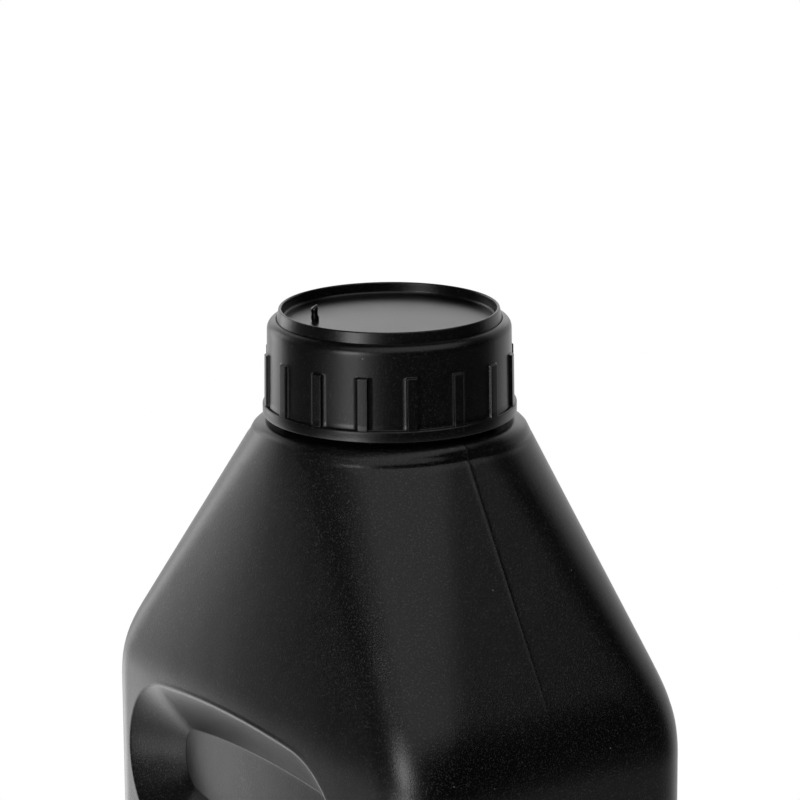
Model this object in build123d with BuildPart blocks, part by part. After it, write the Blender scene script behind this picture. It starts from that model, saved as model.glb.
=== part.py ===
"""One-litre motor oil bottle: a blown rectangular bottle, its ribbed screw cap and the liner that seals it."""
import os
from math import atan, atan2, cos, degrees, radians, sin, tan

from build123d import *

# Millimetres. +Z is up, the foot stands on Z = 0 and the neck's axis is the Z axis.
# The wide faces look along -Y and +Y, the narrow ones along -X and +X. The mould parts on the XZ plane.

# Blown body
body_width = 109.0
body_depth = 66.0           # over the corners, without the bow of the wide faces
corner_radius = 11.0
face_bow = 6.0              # degrees that a wide face turns from its middle to the corners
wall = 1.0
shoulder_base = 132.0       # height where the planes of the sides and of the shoulder would meet
shoulder_height = 51.9
shoulder_blend = 8.0        # how far the bend at the narrow faces and corners reaches up and down from there
face_blend = 4.0            # the same for the crisper bend at the wide faces
blend_sections = 5

# Foot and base panel
foot_radius = 4.0
foot_facets = 2             # flats that make up the rounded edge of the foot
foot_facets_inside = 1
foot_width = 9.0            # from the side of the bottle in to the base panel
base_wall = 1.4
panel_rise = 2.0
panel_slope_run = 3.0

# Top of the shoulder, where it runs in to the collar
collar_step = 0.8           # how far the collar stands out past the cap's band
collar_height = 6.0         # most of it is sunk in the shoulder
collar_edge = 1.0
shoulder_side_inset = 1.0   # the shoulder's top lies inside the collar, most of all on the narrow sides
shoulder_face_inset = 0.05
shoulder_corner_inset = 2.9

# Neck finish
neck_clearance = 1.1        # room for the threads between the neck and the cap
neck_wall = 2.2
lip_edge = 0.6

# Grip pocket, one on each wide face
pocket_length = 80.0        # at the level of the face's middle
pocket_height = 36.7
pocket_end_radius = 17.6
pocket_depth = 9.6
pocket_slope_run = 11.4     # how far the sloping wall runs in from rim to floor
pocket_offset = -6.6        # along X from the bottle's middle
pocket_drop = 20.5          # middle of the pocket below the shoulder's base

# Screw cap
cap_gap = 0.5               # between the collar's top and the cap's lower edge
cap_height = 20.3
skirt_radius = 23.1
skirt_flare = 0.2           # growth of the radius from the cap's shoulder down to its band
skirt_wall = 1.9
cap_shoulder_radius = 1.8
cap_shoulder_facets = 3
cap_shoulder_drop = 3.9     # from the rim down to where the shoulder meets the skirt
rim_step = 2.2              # from the skirt in to the rim
rim_wall = 0.6
top_recess = 2.2
top_recess_edge = 0.5
top_plate = 1.5
band_height = 2.3
band_step = 1.0             # from the skirt out to the band
band_edge = 0.4
cap_mouth_edge = 0.5
rib_count = 16
rib_width = 2.0
rib_height = 0.6
rib_top_drop = 7.9          # from the rim down to the ribs' upper ends
rib_top_slope = 0.5
rib_turn = -1.5             # degrees from +X to the first rib
rib_root = 0.8              # how deep a rib starts inside the skirt

# Gate vestige on the cap's recessed top
gate_radius = 0.6
gate_height = 3.0
gate_distance = 14.0
gate_turn = -117.0          # degrees from +X

# Liner
liner_thickness = 1.2
liner_side_gap = 0.3
seat_gap = 0.1              # between liner and cap, and between liner and lip

# Levels and radii that follow
collar_top = shoulder_base + shoulder_height
shoulder_top = collar_top - collar_edge
cap_base = collar_top + cap_gap
cap_top = cap_base + cap_height
plate_top = cap_top - top_recess
plate_underside = plate_top - top_plate
liner_base = plate_underside - seat_gap - liner_thickness
mouth_level = liner_base - seat_gap
band_top = cap_base + band_height
cap_inner_radius = skirt_radius - skirt_wall
rim_radius = skirt_radius - rim_step
band_radius = skirt_radius + band_step
neck_radius = cap_inner_radius - neck_clearance
bore_radius = neck_radius - neck_wall
collar_radius = band_radius + collar_step
shoulder_top_width = 2 * (collar_radius - shoulder_side_inset)
shoulder_top_depth = 2 * (collar_radius - shoulder_face_inset)
shoulder_top_radius = collar_radius - shoulder_corner_inset
face_middle = body_depth / 2 + (body_width / 2 - corner_radius) * tan(radians(face_bow / 2))
pocket_level = shoulder_base - pocket_drop
pocket_slope = pocket_slope_run / pocket_depth
cut_margin = 1.0            # how far a cutting solid stands out of the face that it cuts


def mix(start, end, share):
    """Value the given share of the way from start to end."""
    return start + (end - start) * share


def inward_share(height, blend):
    """How far the sides have run in towards the neck at a height: a parabola over the bend, then a line."""
    above = height - shoulder_base
    run = shoulder_top - shoulder_base
    if above <= -blend:
        return 0.0
    if above < blend:
        return (above + blend) ** 2 / (4 * blend * run)
    return above / run


def body_section(height, inset):
    """Outline of the bottle at a height, set in from the outside: bowed wide sides, round corners, flat ends."""
    share = inward_share(height, shoulder_blend)
    width = mix(body_width, shoulder_top_width, share)
    depth = mix(body_depth, shoulder_top_depth, inward_share(height, face_blend))
    round_corner = mix(corner_radius, shoulder_top_radius, share)
    across = width / 2 - round_corner
    along = depth / 2 - round_corner
    bow_reach = across / sin(radians(face_bow))     # from the middle of a bow's circle to that of a corner's
    bow_middle = along - bow_reach * cos(radians(face_bow))
    bow_radius = bow_reach + round_corner - inset
    end = width / 2 - inset
    round_corner -= inset
    turn = 90 - face_bow
    with BuildSketch(Plane.XY.offset(height)) as outline:
        with BuildLine():
            Line((end, -along), (end, along))
            CenterArc((across, along), round_corner, 0, turn)
            CenterArc((0, bow_middle), bow_radius, turn, 2 * face_bow)
            CenterArc((-across, along), round_corner, 180 - turn, turn)
            Line((-end, along), (-end, -along))
            CenterArc((-across, -along), round_corner, 180, turn)
            CenterArc((0, -bow_middle), bow_radius, 180 + turn, 2 * face_bow)
            CenterArc((across, -along), round_corner, 360 - turn, turn)
        make_face()
    return outline.sketch


def bend_sections(inset):
    """Sections over the bend between the sides and the shoulder."""
    steps = [step / (blend_sections - 1) for step in range(blend_sections)]
    low = shoulder_base - shoulder_blend
    high = shoulder_base + shoulder_blend
    return [body_section(mix(low, high, step), inset) for step in steps]


def foot_edge(bottom, inset, radius, facets):
    """Adds the rounded edge of the foot: slabs that flare out from its underside to the side of the bottle."""
    turns = [radians(90 * step / facets) for step in range(facets + 1)]
    for turn, following in zip(turns, turns[1:]):
        height = radius * (cos(turn) - cos(following))
        flare = radius * (sin(following) - sin(turn))
        slab = body_section(bottom + radius * (1 - cos(turn)), inset + radius * (1 - sin(turn)))
        extrude(slab, amount=height, taper=-degrees(atan(flare / height)))


def base_panel(height, inset):
    """Rounded rectangle of the raised base panel, set in from the inner edge of the foot."""
    margin = foot_width + inset
    with BuildSketch(Plane.XY.offset(height)) as outline:
        RectangleRounded(body_width - 2 * margin, body_depth - 2 * margin, corner_radius)
    return outline.sketch


def pocket_outline(side, depth, grow):
    """Oval of four tangent arcs, at a depth below the middle of a wide face, grown by the given distance.

    side is -1 for the face along -Y and 1 for the one along +Y.
    """
    inset = pocket_slope * depth - grow
    half_length = pocket_length / 2 - inset
    half_height = pocket_height / 2 - inset
    end_radius = pocket_end_radius - inset
    end_centre = half_length - end_radius
    flank_radius = (half_length**2 + half_height**2 - 2 * half_length * end_radius) / (
        2 * (half_height - end_radius)
    )
    flank_centre = flank_radius - half_height
    turn = degrees(atan2(flank_centre, end_centre))
    middle = (pocket_offset, side * (face_middle - depth), pocket_level)
    with BuildSketch(Plane(middle, x_dir=(1, 0, 0), z_dir=(0, -side, 0))) as outline:
        with BuildLine():
            CenterArc((end_centre, 0), end_radius, -turn, 2 * turn)
            CenterArc((0, -flank_centre), flank_radius, turn, 180 - 2 * turn)
            CenterArc((-end_centre, 0), end_radius, 180 - turn, 2 * turn)
            CenterArc((0, flank_centre), flank_radius, 180 + turn, 180 - 2 * turn)
        make_face()
    return outline.sketch


def cut_pocket(side, grow):
    """Cuts a grip pocket, grown by the given distance, from outside the face down to its flat floor."""
    extrude(pocket_outline(side, -cut_margin, grow), amount=cut_margin + pocket_depth + grow,
            taper=degrees(atan(pocket_slope)), mode=Mode.SUBTRACT)


def corner(sketch, across, up):
    """Vertex of a profile nearest to a point."""
    return sketch.vertices().sort_by_distance((across, up))[0]


# Space inside the bottle, one wall in from the outside all over
with BuildPart() as inner_space:
    foot_inside = base_wall + foot_radius - wall
    foot_edge(base_wall, wall, foot_radius - wall, foot_facets_inside)
    extrude(body_section(foot_inside, wall), amount=shoulder_base - shoulder_blend - foot_inside)
    loft(bend_sections(wall))
    loft([body_section(level, wall) for level in (shoulder_base + shoulder_blend, shoulder_top - wall)],
         ruled=True)
    panel_height = panel_rise + base_wall
    extrude(base_panel(0, -base_wall), amount=panel_height,
            taper=degrees(atan(panel_slope_run / panel_height)), mode=Mode.SUBTRACT)
    for side in (-1, 1):
        cut_pocket(side, wall)
    with BuildSketch(Plane.XY.offset(shoulder_base)):
        Circle(bore_radius)
    extrude(amount=mouth_level + cut_margin - shoulder_base)

# Blown bottle
with BuildPart() as bottle:
    foot_edge(0, 0, foot_radius, foot_facets)
    extrude(body_section(foot_radius, 0), amount=shoulder_base - shoulder_blend - foot_radius)
    loft(bend_sections(0))
    loft([body_section(level, 0) for level in (shoulder_base + shoulder_blend, shoulder_top)], ruled=True)
    extrude(base_panel(0, 0), amount=panel_rise, taper=degrees(atan(panel_slope_run / panel_rise)),
            mode=Mode.SUBTRACT)
    for side in (-1, 1):
        cut_pocket(side, 0)
    with BuildSketch(Plane.XZ) as neck_profile:
        with BuildLine():
            Polyline(
                (0, collar_top - collar_height),
                (collar_radius, collar_top - collar_height),
                (collar_radius, collar_top),
                (neck_radius, collar_top),
                (neck_radius, mouth_level),
                (0, mouth_level),
                close=True,
            )
        make_face()
        chamfer(corner(neck_profile, collar_radius, collar_top), collar_edge)
        chamfer(corner(neck_profile, neck_radius, mouth_level), lip_edge)
    revolve(axis=Axis.Z)
    add(inner_space.part, mode=Mode.SUBTRACT)

# One rib of the cap, at +X, from the skirt down into the band
with BuildPart() as rib:
    rib_top = cap_top - rib_top_drop
    rib_face = skirt_radius + rib_height
    rib_foot = band_top - band_edge
    with BuildSketch(Plane.XZ):
        with BuildLine():
            Polyline(
                (skirt_radius - rib_root, rib_foot),
                (rib_face + skirt_flare, rib_foot),
                (rib_face, rib_top - rib_top_slope),
                (rib_face - rib_top_slope, rib_top),
                (skirt_radius - rib_root, rib_top),
                close=True,
            )
        make_face()
    extrude(amount=rib_width / 2, both=True)

# Screw cap: one moulding, with its skirt, band, ribs, raised rim and gate vestige
with BuildPart() as screw_cap:
    shoulder_level = cap_top - cap_shoulder_drop
    shoulder_centre = skirt_radius - cap_shoulder_radius
    rim_bore = rim_radius - rim_wall
    with BuildSketch(Plane.XZ) as cap_profile:
        with BuildLine():
            rim_side = Polyline(
                (0, plate_top),
                (rim_bore, plate_top),
                (rim_bore, cap_top),
                (rim_radius, cap_top),
                (shoulder_centre, shoulder_level + cap_shoulder_radius),
            )
            turns = [radians(90 * step / cap_shoulder_facets) for step in range(cap_shoulder_facets, -1, -1)]
            shoulder = Polyline(*(
                (shoulder_centre + cap_shoulder_radius * cos(turn), shoulder_level + cap_shoulder_radius * sin(turn))
                for turn in turns
            ))
            Polyline(
                shoulder @ 1,
                (skirt_radius + skirt_flare, band_top),
                (band_radius, band_top),
                (band_radius, cap_base),
                (cap_inner_radius, cap_base),
                (cap_inner_radius, plate_underside),
                (0, plate_underside),
                rim_side @ 0,
            )
        make_face()
        chamfer(corner(cap_profile, rim_bore, plate_top), top_recess_edge)
        chamfer(corner(cap_profile, band_radius, band_top), band_edge)
        chamfer(corner(cap_profile, band_radius, cap_base), band_edge)
        chamfer(corner(cap_profile, cap_inner_radius, cap_base), cap_mouth_edge)
    revolve(axis=Axis.Z)
    with PolarLocations(0, rib_count, start_angle=rib_turn):
        add(rib.part)
    gate_place = (gate_distance * cos(radians(gate_turn)), gate_distance * sin(radians(gate_turn)))
    with BuildSketch(Plane.XY.offset(plate_top - top_plate / 2)):
        with Locations(gate_place):
            Circle(gate_radius)
    extrude(amount=gate_height + top_plate / 2)

# Liner between the cap's top and the lip of the neck
with BuildPart() as cap_liner:
    with BuildSketch(Plane.XY.offset(liner_base)):
        Circle(cap_inner_radius - liner_side_gap)
    extrude(amount=liner_thickness)

pieces = {"bottle": bottle, "screw_cap": screw_cap, "cap_liner": cap_liner}
os.makedirs("parts", exist_ok=True)
for name, piece in pieces.items():
    piece.part.label = name
    export_step(piece.part, f"parts/{name}.step")
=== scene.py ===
"""Looks of a one-litre motor oil bottle: its blown body, its ribbed screw cap and the liner that seals it."""
import logging
from dataclasses import dataclass
from enum import Enum
from math import atan2, cos, pi, radians, sin, tan
from typing import Any, Mapping, Sequence, Union

import bpy
import numpy as np
from mathutils import Matrix, Vector


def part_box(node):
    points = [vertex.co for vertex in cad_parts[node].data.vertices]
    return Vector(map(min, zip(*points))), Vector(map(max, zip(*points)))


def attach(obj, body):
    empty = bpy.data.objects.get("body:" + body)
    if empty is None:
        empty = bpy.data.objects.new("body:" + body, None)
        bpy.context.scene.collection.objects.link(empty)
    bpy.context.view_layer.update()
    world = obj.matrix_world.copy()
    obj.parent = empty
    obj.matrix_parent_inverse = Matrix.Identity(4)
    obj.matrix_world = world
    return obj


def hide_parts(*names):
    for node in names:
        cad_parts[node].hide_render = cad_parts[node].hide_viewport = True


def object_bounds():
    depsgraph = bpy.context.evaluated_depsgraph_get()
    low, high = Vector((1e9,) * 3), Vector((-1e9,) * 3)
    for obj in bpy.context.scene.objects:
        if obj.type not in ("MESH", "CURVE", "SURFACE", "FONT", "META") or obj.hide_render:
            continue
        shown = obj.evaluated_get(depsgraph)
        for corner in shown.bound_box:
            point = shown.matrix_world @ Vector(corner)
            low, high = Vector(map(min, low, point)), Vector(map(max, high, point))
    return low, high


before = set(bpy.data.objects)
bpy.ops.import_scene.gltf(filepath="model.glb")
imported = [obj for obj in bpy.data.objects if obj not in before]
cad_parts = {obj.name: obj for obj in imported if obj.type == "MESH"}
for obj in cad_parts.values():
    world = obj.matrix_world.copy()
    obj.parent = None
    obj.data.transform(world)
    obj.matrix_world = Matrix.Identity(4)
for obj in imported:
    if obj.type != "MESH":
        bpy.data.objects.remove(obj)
CAD_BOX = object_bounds()

LOG = logging.getLogger("oil_bottle")
Array = np.ndarray
Triple = tuple[float, float, float]
Span = tuple[float, float]
MM = 0.001
TINY = 1e-9
NOISE_MEAN = 0.5
EDGE_ROWS = 6


def mix(start: Any, end: Any, share: Any) -> Any:
    """Value the given share of the way from start to end."""
    return start + (end - start) * share


def ease(value: Array, low: float, high: float) -> Array:
    """Smooth step: 0 below low, 1 above high and the cubic 3t^2 - 2t^3 between them."""
    t = np.clip((value - low) / (high - low), 0.0, 1.0)
    return t * t * (3.0 - 2.0 * t)


def bell(distance: Array, width: float) -> Array:
    """Bell curve: e to the power of minus the square of the distance in widths."""
    return np.exp(-((distance / width) ** 2))


def smooth_max(first: Array, second: Array, rounding: float) -> Array:
    """Larger of two surfaces, their crease rounded: half of the sum plus a hyperbola of the difference."""
    gap = first - second
    return 0.5 * (first + second + np.sqrt(gap * gap + rounding * rounding))


def far_crossing(towards: Array, square: Array, radius: Array) -> Array:
    """Far root for a ray and a circle, from its centre's distance along the ray and squared distance."""
    return towards + np.sqrt(np.maximum(towards**2 - square + radius**2, 0.0))


def bowed_rectangle(angle: Array, half_x: Array, half_y: Array, radius: Array, bow: Array) -> Array:
    """Distance from the axis to a rectangle with round corners and bowed long sides.

    A ray meets a flat end, the large circle of a long side or, between them, the circle of a corner, whose
    centre lies one radius in from the end and from the side. The large circle touches both of its corners.

    Args:
        angle: Directions of the rays, from +X.
        half_x: Half of the rectangle's length.
        half_y: Half of its width over the corners.
        radius: Radius of its corners.
        bow: Angle through which a long side turns from its middle to a corner.

    Returns:
        The distances, broadcast over all the arguments.
    """
    across, along = np.abs(np.cos(angle)), np.abs(np.sin(angle))
    corner_x, corner_y = half_x - radius, half_y - radius
    bow_reach = corner_x / np.sin(bow)
    bow_y = corner_y - bow_reach * np.cos(bow)
    end = half_x / np.maximum(across, TINY)
    corner = far_crossing(across * corner_x + along * corner_y, corner_x**2 + corner_y**2, radius)
    side = far_crossing(along * bow_y, bow_y**2, bow_reach + radius)
    on_side = side * across <= np.tan(bow) * (side * along - bow_y)
    return np.where(end * along <= corner_y, end, np.where(on_side, side, corner))


def arc(centre: Span, radius: float, start: float, end: float, count: int = EDGE_ROWS) -> Array:
    """Points of a circular arc in the plane of radius and height, from one angle in degrees to another."""
    turn = np.radians(np.linspace(start, end, count))
    return np.stack([centre[0] + radius * np.cos(turn), centre[1] + radius * np.sin(turn)], axis=-1)


def ringed(angle: Array, reach: Array, height: Array) -> Array:
    """Rings of points round the axis: each turns its distance from the axis through the columns' angles."""
    reach, height = np.broadcast_arrays(reach, height, angle)[:2]
    return np.stack([reach * np.cos(angle), reach * np.sin(angle), height], axis=-1)


def stepped(start: float, *runs: tuple[float, int]) -> Array:
    """Numbers from a start through the end of each run, evenly spaced within it.

    Args:
        start: The first number.
        runs: For each run, its end and its number of steps.

    Returns:
        The numbers in order.
    """
    parts = [np.array([start])]
    for end, steps in runs:
        parts.append(np.linspace(parts[-1][-1], end, steps + 1)[1:])
    return np.concatenate(parts)


class Shell:
    """Closed skin: rings of points round an axis, a pole at each end, and patches let into windows.

    Rings run counter-clockwise seen from above, and in the order in which the skin is walked from its lower
    outer pole with the material on the left, so every face points out of the material.
    """

    def __init__(self, rings: Array, first_pole: Sequence[float], last_pole: Sequence[float]) -> None:
        """Numbers the points and closes both ends.

        Args:
            rings: Points of the rings, as rows by columns by three.
            first_pole: Point that closes the first ring.
            last_pole: Point that closes the last one.
        """
        rows, columns = rings.shape[:2]
        self.grid = np.arange(rows * columns).reshape(rows, columns)
        self.kept = np.ones((rows - 1, columns), bool)
        self.points: list[Array] = [rings.reshape(-1, 3), np.array([first_pole, last_pole], float)]
        self.count = rows * columns + 2
        self.faces: list[Array] = [
            self.fan(self.grid[0, ::-1], self.count - 2),
            self.fan(self.grid[-1], self.count - 1),
        ]

    @staticmethod
    def fan(ring: Array, pole: int) -> Array:
        """Triangles from each edge of a ring to a pole."""
        return np.stack([ring, np.roll(ring, -1), np.full_like(ring, pole)], axis=-1)

    @staticmethod
    def strips(index: Array) -> Array:
        """Quads between neighbouring rings of point numbers, closed round each ring."""
        beside = np.roll(index, -1, axis=1)
        return np.stack([index[:-1], beside[:-1], beside[1:], index[1:]], axis=-1)

    def window(self, rows: tuple[int, int], columns: tuple[int, int]) -> Array:
        """Opens a window in the rings.

        Args:
            rows: Its first and last row.
            columns: Its first and last column.

        Returns:
            The point numbers round its edge, counter-clockwise from outside.
        """
        low, high = rows
        left, right = columns
        self.kept[low:high, left:right] = False
        wrapped = np.arange(left, right + 1) % self.grid.shape[1]
        return np.concatenate([
            self.grid[low, wrapped[:-1]],
            self.grid[low:high, wrapped[-1]],
            self.grid[high, wrapped[:0:-1]],
            self.grid[high:low:-1, wrapped[0]],
        ])

    def patch(self, edge: Array, rings: Array, pole: Sequence[float]) -> None:
        """Fills a window with rings of points that shrink from its edge to a pole.

        Args:
            edge: Point numbers round the window.
            rings: Points of the rings, from the edge inwards.
            pole: Point that closes the last ring.
        """
        rows, columns = rings.shape[:2]
        inner = self.count + np.arange(rows * columns).reshape(rows, columns)
        self.points += [rings.reshape(-1, 3), np.array([pole], float)]
        self.count += rows * columns + 1
        index = np.concatenate([edge[None], inner])
        self.faces += [self.strips(index).reshape(-1, 4), self.fan(index[-1], self.count - 1)]

    def include(self, other: "Shell") -> None:
        """Takes in another closed skin.

        Args:
            other: The skin, such as a stud whose root is sunk in this one.
        """
        points, faces = other.arrays()
        self.points.append(points)
        self.faces += [part + self.count for part in faces]
        self.count += len(points)

    def arrays(self) -> tuple[Array, list[Array]]:
        """Gathers the skin and drops the points that no face uses.

        Returns:
            The points, and the faces as arrays of their numbers.
        """
        parts = [self.strips(self.grid)[self.kept], *self.faces]
        used = np.zeros(self.count, bool)
        used[np.concatenate([part.ravel() for part in parts])] = True
        number = np.cumsum(used) - 1
        return np.concatenate(self.points)[used], [number[part] for part in parts]

    def piece(self, name: str) -> bpy.types.Object:
        """Mesh object of the skin, smooth all over, in the scene."""
        points, parts = self.arrays()
        return mesh_piece(name, points, [face for part in parts for face in part.tolist()])


def mesh_piece(name: str, points: Array, faces: list[list[int]]) -> bpy.types.Object:
    """Smooth mesh object in the scene.

    Args:
        name: Name of the object and of its mesh.
        points: Places of its points, in metres.
        faces: Point numbers of each face, counter-clockwise from outside.

    Returns:
        The linked object.
    """
    mesh = bpy.data.meshes.new(name)
    mesh.from_pydata(points.tolist(), [], faces)
    mesh.polygons.foreach_set("use_smooth", np.ones(len(mesh.polygons), bool))
    mesh.validate()
    mesh.update()
    piece = bpy.data.objects.new(name, mesh)
    bpy.context.scene.collection.objects.link(piece)
    return piece


Operand = Union["Wire", float]
Colour = Union["Wire", Triple]
Inputs = Mapping[Union[str, int], Any]


class Wire:
    """A number on its way through a shader. Arithmetic on it adds Math nodes to its bench."""

    def __init__(self, bench: "Bench", socket: bpy.types.NodeSocket) -> None:
        """Holds the bench that the socket's node stands on, and the socket."""
        self.bench = bench
        self.socket = socket

    def joined(self, operation: str, first: Operand, second: Operand) -> "Wire":
        """Result of a Math node on two numbers."""
        return self.bench.wire("ShaderNodeMath", {"operation": operation}, {0: first, 1: second})

    def __add__(self, other: Operand) -> "Wire":
        """Sum."""
        return self.joined("ADD", self, other)

    def __radd__(self, other: float) -> "Wire":
        """Sum with a plain number first."""
        return self.joined("ADD", other, self)

    def __sub__(self, other: Operand) -> "Wire":
        """Difference."""
        return self.joined("SUBTRACT", self, other)

    def __rsub__(self, other: float) -> "Wire":
        """Difference from a plain number."""
        return self.joined("SUBTRACT", other, self)

    def __mul__(self, other: Operand) -> "Wire":
        """Product."""
        return self.joined("MULTIPLY", self, other)

    def __rmul__(self, other: float) -> "Wire":
        """Product with a plain number first."""
        return self.joined("MULTIPLY", other, self)

    def __truediv__(self, other: Operand) -> "Wire":
        """Quotient."""
        return self.joined("DIVIDE", self, other)

    def __rtruediv__(self, other: float) -> "Wire":
        """Quotient of a plain number by this."""
        return self.joined("DIVIDE", other, self)

    def __gt__(self, other: Operand) -> "Wire":
        """1 where this is more than the other, 0 elsewhere."""
        return self.joined("GREATER_THAN", self, other)

    def __lt__(self, other: Operand) -> "Wire":
        """1 where this is less than the other, 0 elsewhere."""
        return self.joined("LESS_THAN", self, other)

    def step(self, low: float, high: float) -> "Wire":
        """Smooth step from 0 at low to 1 at high."""
        inputs = {"Value": self, "From Min": low, "From Max": high}
        return self.bench.wire("ShaderNodeMapRange", {"interpolation_type": "SMOOTHSTEP"}, inputs)


class Bench:
    """Node tree of one material, with the ways of adding to it: a node, or a node's output as a wire."""

    def __init__(self, tree: bpy.types.NodeTree) -> None:
        """Clears the tree."""
        self.tree = tree
        tree.nodes.clear()

    def node(self, kind: str, settings: Mapping[str, Any], inputs: Inputs) -> bpy.types.Node:
        """Adds any node.

        Args:
            kind: The node's type.
            settings: Its own settings, set first.
            inputs: For each socket, by name or number, a wire or socket to link or a plain value.

        Returns:
            The node.
        """
        made = self.tree.nodes.new(kind)
        for name, value in settings.items():
            setattr(made, name, value)
        for key, value in inputs.items():
            if isinstance(value, Wire):
                value = value.socket
            if isinstance(value, bpy.types.NodeSocket):
                self.tree.links.new(value, made.inputs[key])
            else:
                made.inputs[key].default_value = value
        return made

    def wire(self, kind: str, settings: Mapping[str, Any], inputs: Inputs,
             output: Union[str, int] = 0) -> Wire:
        """Adds a node and gives one of its outputs as a wire."""
        return Wire(self, self.node(kind, settings, inputs).outputs[output])

    def place(self) -> bpy.types.NodeSocket:
        """Socket of the piece's own coordinates."""
        return self.node("ShaderNodeTexCoord", {}, {}).outputs["Object"]

    def colour(self, share: Wire, first: Colour, second: Colour) -> Wire:
        """Blend of two colours by a share."""
        ends = [(*end, 1.0) if isinstance(end, tuple) else end for end in (first, second)]
        return self.wire("ShaderNodeMix", {"data_type": "RGBA"}, {0: share, 6: ends[0], 7: ends[1]}, output=2)

    def bump(self, height: Wire, depth: float, **under: bpy.types.NodeSocket) -> bpy.types.NodeSocket:
        """Socket of a normal that a height of the given depth tilts, over another normal if there is one."""
        inputs = {"Strength": 1.0, "Distance": depth, "Height": height, **under}
        return self.node("ShaderNodeBump", {}, inputs).outputs[0]


class Pattern(Enum):
    """Noise patterns of the finishes, by the output that each one gives."""

    CLOUD = ("ShaderNodeTexNoise", "Fac")
    CELLS = ("ShaderNodeTexVoronoi", "Distance")
    CELL_TINT = ("ShaderNodeTexVoronoi", "Color")


@dataclass(frozen=True)
class Finish:
    """What all finishes share: a name, a colour and a roughness."""

    name: str
    colour: Triple
    roughness: float

    def pattern(self, bench: Bench, kind: Pattern, size: float, detail: float = 0.0,
                stretch: Triple = (1.0, 1.0, 1.0)) -> Wire:
        """Pattern on the piece's own coordinates.

        Args:
            bench: Bench of the material.
            kind: Which pattern.
            size: About how large its features are.
            detail: How many finer layers it has.
            stretch: Scale of the coordinates along each axis.

        Returns:
            The pattern's value.
        """
        inputs = {"Vector": bench.place(), "Scale": stretch}
        scaled = bench.node("ShaderNodeMapping", {}, inputs).outputs["Vector"]
        node_type, output = kind.value
        return bench.wire(node_type, {}, {"Vector": scaled, "Scale": 1.0 / size, "Detail": detail}, output)

    def material(self) -> bpy.types.Material:
        """Makes a new material, dressed by the finish's own method.

        Returns:
            The material.
        """
        made = bpy.data.materials.new(self.name)
        made.use_nodes = True
        bench = Bench(made.node_tree)
        shader = self.dress(bench)
        bench.node("ShaderNodeOutputMaterial", {}, {"Surface": shader.outputs[0]})
        return made

    def dress(self, bench: Bench) -> bpy.types.Node:
        """Shader node of the finish."""
        raise NotImplementedError


@dataclass(frozen=True)
class BlackPlastic(Finish):
    """Black satin plastic with a fine grain, faint clouds in its gloss, dust specks and hairline scuffs.

    Tones are the pattern's values between which a smooth step rises.
    """

    colour: Triple = (0.0008, 0.0008, 0.0009)
    roughness: float = 0.30
    specular: float = 0.2
    faded: Triple = (0.0016, 0.0016, 0.0017)
    grain_size: float = 0.3 * MM
    grain_depth: float = 0.03 * MM
    grain_colour: Triple = (0.022, 0.022, 0.0215)
    grain_tones: Span = (0.5, 0.8)
    ripple_size: float = 9.0 * MM
    ripple_depth: float = 0.05 * MM
    cloud_size: float = 24.0 * MM
    cloud_tones: Span = (0.35, 0.75)
    cloud_gloss: float = 0.08
    speck_spacing: float = 3.2 * MM
    speck_share: float = 0.3
    speck_least: float = 0.02
    speck_spread: float = 0.05
    speck_edge: Span = (0.6, 1.0)
    speck_cover: float = 0.8
    speck_colour: Triple = (0.09, 0.09, 0.088)
    scuff_size: float = 1.6 * MM
    scuff_stretch: Triple = (1.0, 1.0, 0.06)
    scuff_tones: Span = (0.68, 0.8)
    scuff_gloss: float = 0.12

    def dress(self, bench: Bench) -> bpy.types.Node:
        """Sends grain and ripple to the bump, clouds and scuffs to the roughness, and the rest to the colour.

        Args:
            bench: Bench of the new material.

        Returns:
            The shader's node.
        """
        grain = self.pattern(bench, Pattern.CLOUD, self.grain_size, detail=2.0)
        ripple = self.pattern(bench, Pattern.CLOUD, self.ripple_size, detail=1.0)
        cloud = self.pattern(bench, Pattern.CLOUD, self.cloud_size, detail=3.0)
        scratch = self.pattern(bench, Pattern.CLOUD, self.scuff_size, detail=3.0, stretch=self.scuff_stretch)
        chance = self.pattern(bench, Pattern.CELL_TINT, self.speck_spacing)
        near = self.pattern(bench, Pattern.CELLS, self.speck_spacing)
        drawn = bench.node("ShaderNodeSeparateColor", {}, {0: chance}).outputs
        radius = Wire(bench, drawn[1]) * self.speck_spread + self.speck_least
        there = Wire(bench, drawn[0]) > 1.0 - self.speck_share
        speck = (1.0 - (near / radius).step(*self.speck_edge)) * there
        tone = bench.colour(cloud.step(*self.cloud_tones), self.colour, self.faded)
        tone = bench.colour(grain.step(*self.grain_tones), tone, self.grain_colour)
        tone = bench.colour(speck * self.speck_cover, tone, self.speck_colour)
        scuffs = scratch.step(*self.scuff_tones) * self.scuff_gloss
        fine = bench.bump(grain, self.grain_depth)
        return bench.node("ShaderNodeBsdfPrincipled", {}, {
            "Base Color": tone,
            "Roughness": self.roughness + (cloud - NOISE_MEAN) * self.cloud_gloss + scuffs,
            "Specular IOR Level": self.specular,
            "Normal": bench.bump(ripple, self.ripple_depth, Normal=fine),
        })


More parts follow.
